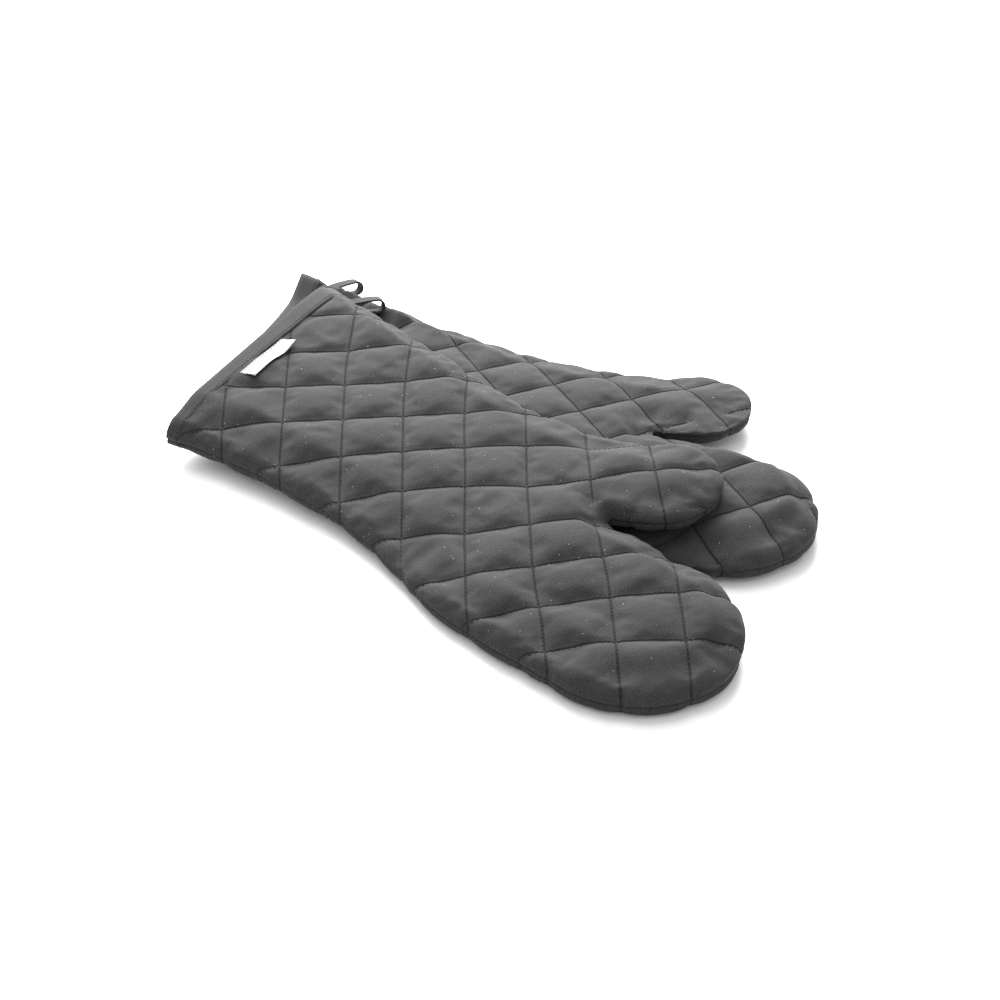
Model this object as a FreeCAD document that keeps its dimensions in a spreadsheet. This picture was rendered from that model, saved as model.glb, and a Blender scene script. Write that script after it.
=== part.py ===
"""A pair of long quilted mitts for hot pots and grills, the upper one lying across the lower one.

Each mitt is a bag of two quilted panels, sewn together round the edge and open at the cuff. A panel
is a cotton cover, a sheet of wadding and a lining. The cuff is bound, a hanging loop stands out of
the thumb side, and the upper mitt has a blank label. All sizes are in millimetres.

A mitt is modelled in its own frame: origin at the middle of the cuff on the table, +X towards the
fingertips, +Y towards the thumb, +Z up. The working frame of the pair is the lower mitt's frame. The
last step moves every piece so that the origin is the middle of the pair's footprint on the table.
"""
import FreeCAD, Part

import math
import os

import Sketcher

Vector = FreeCAD.Vector
os.makedirs("parts", exist_ok=True)
doc = FreeCAD.newDocument("heat_resistant_mitts")

# ------------------------------------------------------------------ driving dimensions
DIMENSIONS = {
    # plan of one mitt
    "cuff_half": 90.0,            # half the cuff's width
    "cuff_slant": 14.0,           # the cuff's turn from square, degrees
    "cuff_overrun": 40.0,         # extra plan that the cuff trims away
    "waist_half": 75.5,           # half the width at the wrist
    "waist_near": 150.0,          # place of the wrist on the little finger side
    "palm_near": 315.0,           # where the little finger side turns straight
    "tip_centre": 369.0,          # centre of the round fingertip end
    "tip_round": 60.5,            # its radius
    "hand_near": 102.0,           # from the middle line to the little finger side
    "thumb_x": 298.0,             # centre of the round thumb tip
    "thumb_y": 62.0,
    "thumb_round": 40.0,
    "thumb_shoulder": 22.0,       # slope of the thumb's shoulder, degrees
    # layers of a panel, and the bag
    "cover": 0.8,
    "wadding": 3.0,
    "lining": 0.7,
    "mitt_depth": 20.0,           # thickness of an empty mitt at rest
    "seam_rise": 5.6,             # height of the edge seam above the underside
    "seam_thread": 0.8,           # height of the seam's overlocked edge
    "seam_groove": 0.6,           # how far the seam lies back from the outside
    "seam_reach": 6.5,            # how far the overlocked edge reaches in
    # how the upper mitt lies on the lower one
    "upper_x": 31.5,
    "upper_y": -48.6,
    "upper_turn": -13.8,          # degrees
    "press_depth": 11.5,          # the lower mitt's depth where the upper one presses its edge
    "press_line": 102.0,          # from the lower mitt's middle line to that edge
    "floor_line": 170.0,          # beyond this line the upper mitt lies on the table
    "rest_gap": 0.4,              # between the two mitts
    # trim
    "binding_width": 13.0,
    "binding_edge": 1.2,          # thickness of the binding's fold
    "loop_place": 9.0,            # from the cuff's edge to the loop's middle line, along the side
    "loop_turn": 52.0,            # direction of the loop from the middle line, degrees
    "loop_roll": 80.0,            # turn about its own length that puts one leg over the other
    "loop_length": 34.0,
    "loop_width": 9.0,            # of its tape
    "loop_outside": 13.0,         # over both legs
    "loop_tape": 1.6,             # doubled tape
    "loop_clear": 0.3,
    "lower_loop_level": 7.6,      # height of the loop's middle over the table
    "upper_loop_level": 28.2,
    "label_long": 47.0,
    "label_wide": 12.0,
    "label_tape": 0.5,
    "label_rise": 0.35,           # over the quilting under it
    "label_place": -3.0,          # from the middle line to the label's middle
    "binding_stitch": 2.0,        # from the binding's inner edge to its stitches
    "thread": 0.6,
    "thread_proud": 0.3,
    # quilting, a square grid on its corner
    "quilt_pitch": 38.0,
    "quilt_edge": 3.0,            # the lines stop this far from the edge
    "quilt_start": 1.0,           # and this far from the binding
    # folds
    "fold_gap": 0.35,
    "thumb_fold_x": 296.0,
    "thumb_fold_y": 20.5,
    "thumb_fold_turn": -35.6,     # direction of the thumb's fold, degrees
    "finger_fold": 335.0,
}
sheet = doc.addObject("Spreadsheet::Sheet", "Dimensions")
for row, (alias, value) in enumerate(DIMENSIONS.items(), start=1):
    sheet.set(f"A{row}", alias)
    sheet.set(f"B{row}", str(value))
    sheet.setAlias(f"B{row}", alias)
doc.recompute()
D = {alias: float(sheet.get(alias)) for alias in DIMENSIONS}

REACH = 700.0             # longer than the pair, for blocks that cut
DEEP, HIGH = -40.0, 160.0  # below and above everything
TALL = 100.0              # top of the plan's prism: above every piece, below HIGH with room to spare

# one crossing of the quilting in each mitt's frame, and the grid's turn in degrees
QUILT = {"lower": (236.4, 69.3, 8.6), "upper": (158.8, -13.4, 0.0)}


def bind(item, prop, expression):
    """Binds a property to the sheet. An alias is written with a leading dollar sign."""
    item.setExpression(prop, expression.replace("$", "Dimensions."))


# ------------------------------------------------------------------ worked-out dimensions
derived = doc.addObject("App::VarSet", "Derived")


def derive(name, expression):
    derived.addProperty("App::PropertyFloat", name)
    bind(derived, name, expression.replace("@", "Derived."))


derive("hand_far", "2 * $tip_round - $hand_near")
derive("crotch_round", "($thumb_y - $thumb_round - @hand_far) / 2")
derive("crotch_y", "@hand_far + @crotch_round")
derive("palm_run", "$palm_near - $waist_near")
derive("palm_drop", "$hand_near - $waist_half")
derive("palm_round", "(@palm_run ^ 2 + @palm_drop ^ 2) / (4 * @palm_drop)")
derive("palm_middle_x", "$waist_near + @palm_run / 2")
derive("palm_middle_y", "-$waist_half - @palm_drop / 2")
derive("flare", "$cuff_half - $waist_half")
derive("near_round", "($waist_near ^ 2 + @flare ^ 2) / (2 * @flare)")
derive("shoulder_x", "$thumb_x - $thumb_round * sin($thumb_shoulder)")
derive("shoulder_y", "$thumb_y + $thumb_round * cos($thumb_shoulder)")
derive("shoulder_round", "(@shoulder_y - $waist_half) / (1 - cos($thumb_shoulder))")
derive("waist_far", "@shoulder_x - @shoulder_round * sin($thumb_shoulder)")
derive("far_round", "(@waist_far ^ 2 + @flare ^ 2) / (2 * @flare)")
derive("press_top", "$press_depth + $rest_gap")
derive("full_top", "$mitt_depth + $rest_gap")
derive("layer_two", "$cover + $wadding")
derive("panel", "$cover + $wadding + $lining")
derive("seam_top", "$seam_rise + $seam_thread")
doc.recompute()


def worked(name):
    """A worked-out dimension's value."""
    return getattr(derived, name)


# ------------------------------------------------------------------ sketches and blocks
def closed_sketch(name, corners, rounds=()):
    """A closed outline whose corners and radii follow the sheet.

    corners: (x, y, expression of x, expression of y) in order.
    rounds: for the edge after corner i, {i: (middle x, middle y, expression of the radius)}. A half
    circle on an upright edge has None for the radius: its centre is held beside its first corner.
    """
    sketch = doc.addObject("Sketcher::SketchObject", name)
    rounds = dict(rounds)
    count = len(corners)
    first = []      # which end of each edge is its first corner: 1 the start, 2 the end
    for i, (x, y, _, _) in enumerate(corners):
        start, end = Vector(x, y, 0), Vector(*corners[(i + 1) % count][:2], 0)
        first.append(1)
        if i not in rounds:
            sketch.addGeometry(Part.LineSegment(start, end), False)
            continue
        middle = Vector(*rounds[i][:2], 0)
        if (middle - start).cross(end - middle).z < 0:      # a sketch's arcs run anticlockwise
            start, end = end, start
            first[-1] = 2
        sketch.addGeometry(Part.Arc(start, middle, end), False)
    for i in range(count):
        following = (i + 1) % count
        sketch.addConstraint(Sketcher.Constraint(
            "Coincident", i, 3 - first[i], following, first[following]))
    for i, (x, y, x_expression, y_expression) in enumerate(corners):
        for kind, value, expression in (("DistanceX", x, x_expression), ("DistanceY", y, y_expression)):
            index = sketch.addConstraint(Sketcher.Constraint(kind, -1, 1, i, first[i], value))
            bind(sketch, f"Constraints[{index}]", expression.replace("@", "Derived."))
        if i in rounds and rounds[i][2]:
            radius = sketch.Geometry[i].Radius
            index = sketch.addConstraint(Sketcher.Constraint("Radius", i, radius))
            bind(sketch, f"Constraints[{index}]", rounds[i][2].replace("@", "Derived."))
        elif i in rounds:
            index = sketch.addConstraint(Sketcher.Constraint("DistanceX", -1, 1, i, 3, x))
            bind(sketch, f"Constraints[{index}]", x_expression.replace("@", "Derived."))
    return sketch


def extrusion(name, base, direction, start, end):
    item = doc.addObject("Part::Extrusion", name)
    item.Base = base
    item.DirMode = "Custom"
    item.Dir = direction
    item.LengthFwd = end
    item.LengthRev = -start
    item.Solid = True
    return item


def block(name, low, high, turn=0.0, corner=(0.0, 0.0)):
    """A box from low to high, turned about the vertical through corner."""
    item = doc.addObject("Part::Box", name)
    item.Length, item.Width, item.Height = (b - a for a, b in zip(low, high))
    turned = FreeCAD.Rotation(Vector(0, 0, 1), turn)
    item.Placement = FreeCAD.Placement(Vector(*corner, 0) + turned.multVec(Vector(*low)), turned)
    return item


def cut(name, base, tool):
    item = doc.addObject("Part::Cut", name)
    item.Base, item.Tool = base, tool
    return item


def common(name, base, tool):
    item = doc.addObject("Part::Common", name)
    item.Base, item.Tool = base, tool
    return item


def mitt_outline():
    """Plan of a mitt from over the cuff round the hand and thumb: lines and tangent arcs."""
    half, over = D["cuff_half"], D["cuff_overrun"]
    waist, near = D["waist_half"], D["hand_near"]
    tip, tip_round = D["tip_centre"], D["tip_round"]
    thumb_x, thumb_y, thumb_round = D["thumb_x"], D["thumb_y"], D["thumb_round"]
    far, crotch = worked("hand_far"), worked("crotch_round")

    def rim(centre_x, centre_y, radius, x, side):
        return x, centre_y + side * math.sqrt(radius ** 2 - (x - centre_x) ** 2)

    near_round, palm_round, far_round = worked("near_round"), worked("palm_round"), worked("far_round")
    palm_x, palm_y, palm_step = worked("palm_middle_x"), worked("palm_middle_y"), worked("palm_run") / 4
    shoulder_round, waist_far = worked("shoulder_round"), worked("waist_far")
    shoulder_x = worked("shoulder_x")
    corners = [
        (-over, half, "-$cuff_overrun", "$cuff_half"),
        (-over, -half, "-$cuff_overrun", "-$cuff_half"),
        (0, -half, "0", "-$cuff_half"),
        (D["waist_near"], -waist, "$waist_near", "-$waist_half"),
        (palm_x, palm_y, "@palm_middle_x", "@palm_middle_y"),
        (D["palm_near"], -near, "$palm_near", "-$hand_near"),
        (tip, -near, "$tip_centre", "-$hand_near"),
        (tip, far, "$tip_centre", "@hand_far"),
        (thumb_x, far, "$thumb_x", "@hand_far"),
        (thumb_x, far + 2 * crotch, "$thumb_x", "$thumb_y - $thumb_round"),
        (shoulder_x, worked("shoulder_y"), "@shoulder_x", "@shoulder_y"),
        (waist_far, waist, "@waist_far", "$waist_half"),
        (0, half, "0", "$cuff_half"),
    ]
    rounds = {
        2: (*rim(D["waist_near"], -waist - near_round, near_round, D["waist_near"] / 2, 1), "@near_round"),
        3: (*rim(D["waist_near"], -waist - palm_round, palm_round, palm_x - palm_step, 1), "@palm_round"),
        4: (*rim(D["palm_near"], -near + palm_round, palm_round, palm_x + palm_step, -1), "@palm_round"),
        6: (tip + tip_round, -near + tip_round, None),
        8: (thumb_x - crotch, far + crotch, None),
        9: (thumb_x + thumb_round, thumb_y, "$thumb_round"),
        10: (*rim(waist_far, waist + shoulder_round, shoulder_round, (shoulder_x + waist_far) / 2, -1),
             "@shoulder_round"),
        11: (*rim(waist_far, waist + far_round, far_round, waist_far / 2, -1), "@far_round"),
    }
    sketch = closed_sketch("mitt_outline", corners, rounds)
    sketch.Placement.Base.z = DEEP
    return sketch


OUTLINE = doc.addObject("Part::Face", "mitt_plan")
OUTLINE.Sources = [mitt_outline()]
UP = Vector(0, 0, 1)


def plan(name, inset):
    """Everything inside the outline moved in by a distance, over the whole height."""
    offset = doc.addObject("Part::Offset2D", f"{name}_outline")
    offset.Source = OUTLINE
    offset.Mode = "Skin"
    offset.Join = "Arc"
    offset.Fill = False
    bind(offset, "Value", f"-({inset})".replace("@", "Derived."))
    return extrusion(name, offset, UP, 0, TALL - DEEP)


# In the working frame a mitt's underside and top depend only on the place across the pair.
# Each profile is (y, height, expression of y, expression of height), from the near side to the far.
PROFILES = {
    "table": [(-REACH, 0, str(-REACH), "0"), (REACH, 0, str(REACH), "0")],
    "upper_base": [
        (-REACH, 0, str(-REACH), "0"),
        (-D["floor_line"], 0, "-$floor_line", "0"),
        (-D["press_line"], worked("press_top"), "-$press_line", "@press_top"),
        (0, worked("full_top"), "0", "@full_top"),
        (REACH, worked("full_top"), str(REACH), "@full_top"),
    ],
    "lower_top": [
        (-REACH, D["press_depth"], str(-REACH), "$press_depth"),
        (-D["press_line"], D["press_depth"], "-$press_line", "$press_depth"),
        (0, D["mitt_depth"], "0", "$mitt_depth"),
        (REACH, D["mitt_depth"], str(REACH), "$mitt_depth"),
    ],
}
BASE = {"lower": ("table", "0"), "upper": ("upper_base", "0")}
TOP = {"lower": ("lower_top", "0"), "upper": ("upper_base", "$mitt_depth")}
SPOT = {
    "lower": FreeCAD.Placement(),
    "upper": FreeCAD.Placement(Vector(D["upper_x"], D["upper_y"], 0),
                               FreeCAD.Rotation(UP, D["upper_turn"])),
}


def above(mitt, surface, rise):
    """Everything above a mitt's underside or top, raised by an expression, in the mitt's frame."""
    profile, extra = surface[mitt]
    line = PROFILES[profile]
    near, far = line[0], line[-1]
    corners = [*line, (far[0], HIGH, far[2], str(HIGH)), (near[0], HIGH, near[2], str(HIGH))]
    name = f"{mitt}_{profile}"
    sketch = closed_sketch(f"{name}_profile", corners)
    upright = FreeCAD.Rotation(Vector(1, 1, 1), 120)
    sketch.Placement = SPOT[mitt].inverse().multiply(FreeCAD.Placement(Vector(), upright))
    bind(sketch, "Placement.Base.z", f"{extra} + {rise}".replace("@", "Derived."))
    along = SPOT[mitt].inverse().Rotation.multVec(Vector(1, 0, 0))
    return extrusion(name, sketch, along, -REACH, REACH)


def bag(mitt, name, inset):
    """The mitt's whole body moved in by a distance on every side but the cuff's."""
    body = common(f"{name}_over_base", plan(f"{name}_plan", inset), above(mitt, BASE, inset))
    return cut(name, body, above(mitt, TOP, f"-({inset})"))


# ------------------------------------------------------------------ the pieces
PIECES = []


def finish(item, mitt, node):
    """Names a finished piece and puts it where its mitt lies."""
    item.Label = node
    item.Placement = SPOT[mitt]
    PIECES.append(item)


def mouth(mitt, distance):
    """Everything further in than a distance from the slanted cuff."""
    item = block(f"{mitt}_mouth", (0, -REACH, DEEP), (REACH, REACH, HIGH), D["cuff_slant"])
    bind(item, "Placement.Base.x", f"{REACH} * sin($cuff_slant) + ({distance}) * cos($cuff_slant)")
    bind(item, "Placement.Base.y", f"({distance}) * sin($cuff_slant) - {REACH} * cos($cuff_slant)")
    bind(item, "Placement.Rotation.Angle", "$cuff_slant")
    return item


def thumb_zone(back):
    """Everything beyond the thumb's fold, drawn back towards the palm by a distance."""
    beyond = block("beyond_thumb_fold", (-REACH, -back, DEEP), (REACH, REACH, HIGH),
                   D["thumb_fold_turn"], (D["thumb_fold_x"], D["thumb_fold_y"]))
    side = block("thumb_side", (-REACH, D["thumb_fold_y"], DEEP), (REACH, REACH, HIGH))
    return common("thumb_zone", beyond, side)


def finger_zone(back):
    """Everything beyond the fingers' fold, drawn back towards the palm by a distance."""
    return block("finger_zone", (D["finger_fold"] - back, -REACH, DEEP),
                 (REACH, D["thumb_fold_y"], HIGH))


def share_out(mitt, shape, node):
    """Splits one layer at the folds: hand, thumb and, on the upper mitt, fingers."""
    hand = cut(f"{node}_hand", shape, thumb_zone(D["fold_gap"]))
    if mitt == "upper":
        hand = cut(f"{node}_palm", hand, finger_zone(D["fold_gap"]))
        finish(common(f"{node}_tips", shape, finger_zone(0)), mitt, f"{mitt}_fingers_{node}")
    finish(hand, mitt, f"{mitt}_hand_{node}")
    finish(common(f"{node}_thumb", shape, thumb_zone(0)), mitt, f"{mitt}_thumb_{node}")


def make_panels(mitt):
    """The two panels' covers, waddings and linings."""
    insets = ["0", "$cover", "@layer_two", "@panel"]
    bags = [bag(mitt, f"{mitt}_bag{i}", inset) for i, inset in enumerate(insets)]
    below_seam = above(mitt, BASE, "$seam_rise")
    above_seam = above(mitt, BASE, "@seam_top")
    layers = [("cover", bags[0], bags[1], "$binding_width"),
              ("wadding", bags[1], bags[2], "$binding_edge"),
              ("lining", bags[2], bags[3], "$binding_width")]
    for layer, outside, inside, start in layers:
        skin = common(f"{layer}_trimmed", cut(f"{layer}_skin", outside, inside), mouth(mitt, start))
        share_out(mitt, common(f"{layer}_top", skin, above_seam), f"top_{layer}")
        share_out(mitt, cut(f"{layer}_bottom", skin, below_seam), f"bottom_{layer}")
    return bags


def make_seam(mitt):
    """The overlocked edge that joins the panels, a flat ring between them."""
    ring = cut("seam_ring", plan("seam_outside", "$seam_groove"), plan("seam_inside", "$seam_reach"))
    flat = cut("seam_flat", common("seam_low", ring, above(mitt, BASE, "$seam_rise")),
               above(mitt, BASE, "@seam_top"))
    share_out(mitt, common("seam", flat, mouth(mitt, "$binding_width")), "edge_seam")


def make_quilting(mitt):
    """The stitching's thread on the top cover: two crossing sets of lines."""
    cross_x, cross_y, turn = QUILT[mitt]
    lines = []
    reach = int(REACH / 2 / D["quilt_pitch"])
    for direction in (turn + 45, turn - 45):
        for i in range(-reach, reach + 1):
            line = block("quilting_line", (-REACH, 0, DEEP), (REACH, D["thread"], HIGH), direction)
            step = FreeCAD.Rotation(UP, direction).multVec(Vector(0, i * D["quilt_pitch"], 0))
            line.Placement.Base += Vector(cross_x, cross_y, 0) + step
            bind(line, "Width", "$thread")
            lines.append(line)
    grid = doc.addObject("Part::MultiFuse", "quilting_grid")
    grid.Shapes = lines
    inside = common("quilting_inside", grid, plan("quilting_plan", "$quilt_edge"))
    on_top = cut("quilting_on_top", common("quilting_over", inside, above(mitt, TOP, "0")),
                 above(mitt, TOP, "$thread_proud"))
    share_out(mitt, common("quilting", on_top, mouth(mitt, "$binding_width + $quilt_start")), "quilting_thread")


def make_binding(mitt, bags):
    """The tape folded over the cuff's raw edge, and the row of stitches that holds it."""
    tube = common("cuff_tube", cut("whole_skin", bags[0], bags[3]), mouth(mitt, "0"))
    band = cut("cuff_band", tube, mouth(mitt, "$binding_width"))
    padding = common("cuff_padding", cut("padding_skin", bags[1], bags[2]), mouth(mitt, "$binding_edge"))
    finish(cut("binding", band, padding), mitt, f"{mitt}_cuff_binding")

    row = cut("stitch_row", mouth(mitt, "$binding_width - $binding_stitch"),
              mouth(mitt, "$binding_width - $binding_stitch + $thread"))
    over = common("stitch_over", common("stitch_plan", row, plan("stitch_inside", "$quilt_edge")),
                  above(mitt, TOP, "0"))
    finish(cut("stitches", over, above(mitt, TOP, "$thread_proud")), mitt, f"{mitt}_binding_thread")


def make_loop(mitt):
    """The hanging loop: doubled tape out of the side seam by the cuff, one leg over the other."""
    root = Vector(-D["cuff_half"] * math.tan(math.radians(D["cuff_slant"])) + D["loop_place"],
                  D["cuff_half"], D[f"{mitt}_loop_level"])
    turn = FreeCAD.Rotation(UP, D["loop_turn"]) * FreeCAD.Rotation(Vector(1, 0, 0), D["loop_roll"])
    low = -D["loop_width"] / 2
    parts = []
    for name, radius in (("outside", "$loop_outside / 2"), ("inside", "$loop_outside / 2 - $loop_tape")):
        strip = doc.addObject("Part::Box", f"loop_{name}_strip")
        bind(strip, "Length", "2 * $loop_length - $loop_outside / 2")
        bind(strip, "Width", f"2 * ({radius})")
        half_width = D["loop_outside"] / 2 - (D["loop_tape"] if name == "inside" else 0)
        strip.Placement = FreeCAD.Placement(
            root + turn.multVec(Vector(-D["loop_length"], -half_width, low)), turn)
        end = doc.addObject("Part::Cylinder", f"loop_{name}_end")
        bind(end, "Radius", radius)
        middle = root + turn.multVec(Vector(D["loop_length"] - D["loop_outside"] / 2, 0, low))
        end.Placement = FreeCAD.Placement(middle, turn)
        for piece in (strip, end):
            bind(piece, "Height", "$loop_width")
        parts.append(doc.addObject("Part::MultiFuse", f"loop_{name}"))
        parts[-1].Shapes = [strip, end]
    ring = cut("loop_ring", *parts)
    finish(cut("loop", ring, plan("loop_keep_out", "-$loop_clear")), mitt, f"{mitt}_hanging_loop")


def make_label(mitt):
    """A blank woven label, caught along one long side beside the binding."""
    start = D["binding_width"] + D["fold_gap"]
    place = D["label_place"]
    tape = block("label_plan", (start, place - D["label_long"] / 2, DEEP),
                 (start + D["label_wide"], place + D["label_long"] / 2, HIGH), D["cuff_slant"])
    bind(tape, "Length", "$label_wide")
    bind(tape, "Width", "$label_long")
    over = common("label_over", tape, above(mitt, TOP, "$label_rise"))
    finish(cut("label", over, above(mitt, TOP, "$label_rise + $label_tape")), mitt, f"{mitt}_label")


for mitt in ("lower", "upper"):
    bags = make_panels(mitt)
    make_seam(mitt)
    make_quilting(mitt)
    make_binding(mitt, bags)
    make_loop(mitt)
make_label("upper")
doc.recompute()

# ------------------------------------------------------------------ origin, checks and files
whole = FreeCAD.BoundBox()
for piece in PIECES:
    whole.add(piece.Shape.BoundBox)
MIDDLE = Vector(whole.Center.x, whole.Center.y, 0)
for piece in PIECES:
    piece.Placement.Base -= MIDDLE
doc.recompute()


def to_row(mitt, x, y, height=0.0):
    """A point of a mitt's frame, at a height over the table, in the finished frame."""
    return SPOT[mitt].multVec(Vector(x, y, height)) - MIDDLE


for item in doc.Objects:
    if {"Invalid", "Error"} & set(item.State):
        raise SystemExit(f"{item.Name} ({item.Label}) failed: {item.State}")
for piece in PIECES:
    if piece.Shape.isNull() or not piece.Shape.isValid() or not piece.Shape.Solids:
        raise SystemExit(f"{piece.Label} has no valid solid")
for piece in PIECES:
    piece.Shape.exportStep(f"parts/{piece.Label}.step")
    print(f"{piece.Label}: {len(piece.Shape.Solids)} solids, {piece.Shape.Volume / 1000:.2f} cm3")
print(f"{len(PIECES)} pieces, {whole.XLength:.1f} x {whole.YLength:.1f} x {whole.ZLength:.1f} mm")
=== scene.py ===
"""Looks of the pair of quilted mitts: quilted covers, bound cuffs, linings, loops, label, stitches."""
import math
import random

import bmesh
import bpy
import numpy as np
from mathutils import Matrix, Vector, geometry
from mathutils.bvhtree import BVHTree


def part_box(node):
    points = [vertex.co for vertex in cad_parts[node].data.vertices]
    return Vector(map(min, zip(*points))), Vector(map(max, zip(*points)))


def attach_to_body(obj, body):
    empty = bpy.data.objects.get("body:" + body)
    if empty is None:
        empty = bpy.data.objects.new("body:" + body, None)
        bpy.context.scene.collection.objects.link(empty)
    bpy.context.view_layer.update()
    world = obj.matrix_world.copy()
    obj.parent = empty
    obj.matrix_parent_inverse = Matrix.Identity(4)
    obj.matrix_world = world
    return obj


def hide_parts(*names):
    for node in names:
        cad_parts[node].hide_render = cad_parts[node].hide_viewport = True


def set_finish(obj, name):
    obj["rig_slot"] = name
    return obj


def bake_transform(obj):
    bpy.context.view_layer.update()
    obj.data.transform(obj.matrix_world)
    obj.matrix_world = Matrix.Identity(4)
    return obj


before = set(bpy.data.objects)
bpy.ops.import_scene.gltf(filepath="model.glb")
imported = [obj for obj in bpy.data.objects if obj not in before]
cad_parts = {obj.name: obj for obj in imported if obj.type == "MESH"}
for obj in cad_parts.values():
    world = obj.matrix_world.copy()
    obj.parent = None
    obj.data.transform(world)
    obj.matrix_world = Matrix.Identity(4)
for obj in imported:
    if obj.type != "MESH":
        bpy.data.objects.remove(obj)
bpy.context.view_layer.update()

MM = 0.001

# ---- sizes, in millimetres
# a mitt's own frame has x from the cuff to the fingertips and y from the middle line to the thumb
CUFF_HALF, CUFF_SLANT = 90.0, math.radians(14.0)
SLANT_REACH = 150.0                # the cuff's slant fades out this far in
WAIST_HALF, WAIST_NEAR, PALM_NEAR = 75.5, 150.0, 315.0
TIP_X, TIP_ROUND, HAND_NEAR = 369.0, 60.5, 102.0
THUMB_X, THUMB_Y, THUMB_ROUND, SHOULDER = 298.0, 62.0, 40.0, math.radians(22.0)
HAND_FAR = 2 * TIP_ROUND - HAND_NEAR
CROTCH_ROUND = (THUMB_Y - THUMB_ROUND - HAND_FAR) / 2
CROTCH_Y = HAND_FAR + CROTCH_ROUND
SEAM_RISE, DEPTH, PRESSED = 7.5, 20.0, 11.5
PRESS_LINE, FLOOR_LINE, REST_GAP = 102.0, 170.0, 0.4
PANEL, LINING = 4.5, 0.7
BINDING, BINDING_STITCH = 13.0, 1.6
BINDING_SINK = 1.3                 # the binding presses the cloth down by this much
PITCH = 38.0                       # of the quilting
STEP = PITCH / 12                  # of the mesh
THREAD, STITCH, STITCH_GAP = 0.55, 2.1, 0.9
SPLIT_X = 303.0                    # where the fingers' piece meets the hand's

# the puffed cloth
VALLEY = {"top": 3.7, "bottom": 1.0}  # depth of the quilting's lines
LUMP, LUMP_SIZE = 0.4, 75.0
SETTLE_MOST, SETTLE_PRESSURE = 1.1, 2.5

# What changes over the plan is an amount with the smooth steps that bound it, and each step is
# (where it starts, how far it takes), along x or across y.
CROWN, NEAR_CROWN, FAR_CROWN, THUMB_CROWN = 25.0, 30.0, 6.0, 13.0  # where a panel has its full height
CROWN_ALONG, CROWN_ACROSS = (80.0, 200.0), (-20.0, 40.0)
THUMB_CROWN_FROM, THUMB_CROWN_TO = (-60.0, 40.0), (8.0, 14.0)
DRIFT_ALONG = [(200.0, 50.0), (290.0, 60.0)]  # of the quilting's lines
PARALLEL, SEAM_BAND = (0.45, 0.25), (22.0, 5.0)  # a line this parallel to the edge, and this near, isn't sewn
MOUTH_LIFT, LIFT_ALONG = 6.5, (-25.0, 130.0)  # the open cuff stands up
MOUTH_SHARE, MOUTH_ALONG = 0.84, (0.0, 90.0)  # of the full thickness, at the cuff
CUFF_PULL, PULL_ALONG, PULL_ACROSS = 9.0, (0.0, 90.0), (-60.0, 150.0)  # the lower cuff is pulled in
LONG_THUMB, LONG_ALONG, LONG_ACROSS = 5.0, (262.0, 80.0), (22.0, 10.0)  # and its thumb is longer
CUFF_SPREAD, SPREAD_ALONG, SPREAD_ACROSS = 7.0, (60.0, 180.0), (20.0, 60.0)  # of the upper mitt
RUCK, RUCK_ALONG, RUCK_ACROSS = 13.5, (30.0, 230.0), (48.0, 36.0)  # the lower mitt stands up beside it
THUMB_ALONG, THUMB_ACROSS, THUMB_LIFT_ACROSS = (262.0, 50.0), (7.0, 15.0), (14.0, 14.0)
THUMB_LIFT, THUMB_THIN = {"lower": 6.5, "upper": 8.0}, 5.0
TIP_LIFT, TIP_ALONG = 2.0, (300.0, 80.0)
PLUMP_LIFT, PLUMP_DEPTH, PLUMP_ALONG, PLUMP_ACROSS = 8.5, 8.0, (285.0, 70.0), (-112.0, 45.0)
FULLER, FULLER_ALONG = 4.0, (235.0, 60.0)
FAR_CUFF_LIFT, FAR_CUFF_THIN, FAR_CUFF_ALONG, FAR_CUFF_ACROSS = 5.5, 3.0, (60.0, 180.0), (30.0, 40.0)
CORNER_LIFT, CORNER_ALONG, CORNER_ACROSS = 7.0, (0.0, 140.0), 40.0
UNCOVERED_ACROSS = (22.0, 50.0)

MITTS = {
    "lower": {"x": 0.0, "y": 0.0, "turn": 0.0, "cross": (236.4, 69.3), "quilt": math.radians(8.6),
              "seed": 3, "drift": ((0.0, 0.0), (0.0, 0.0))},
    "upper": {"x": 31.5, "y": -48.6, "turn": math.radians(-13.8), "cross": (158.8, -13.4), "quilt": 0.0,
              "seed": 8, "drift": ((-0.14, 0.2), (-0.04, 0.1))},
}

# the lower mitt's frame, found from the CAD cover of its fingertips
low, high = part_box("lower_hand_bottom_cover")
ORIGIN = Vector((high.x / MM - TIP_X - TIP_ROUND, low.y / MM + HAND_NEAR, 0.0))


# ---- small helpers
def smooth(t):
    t = np.clip(t, 0, 1)
    return t * t * (3 - 2 * t)


def ease(value, start, reach):
    """0 up to start, then smoothly up to 1 over a reach."""
    return smooth((value - start) / reach)


def turned(x, y, angle):
    c, s = math.cos(angle), math.sin(angle)
    return x * c - y * s, x * s + y * c


def unit(vectors):
    """Vectors of length one, from one vector or rows of them."""
    return vectors / np.linalg.norm(vectors, axis=-1, keepdims=True)


def lengths(points):
    """Distance along a row of points, from its start to each point."""
    return np.concatenate([[0], np.cumsum(np.linalg.norm(np.diff(points, axis=0), axis=1))])


def at_length(distance, total, values):
    """The place, or another value given for each point, a distance along a row of points."""
    return np.array([np.interp(distance, total, column) for column in values.T])


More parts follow.
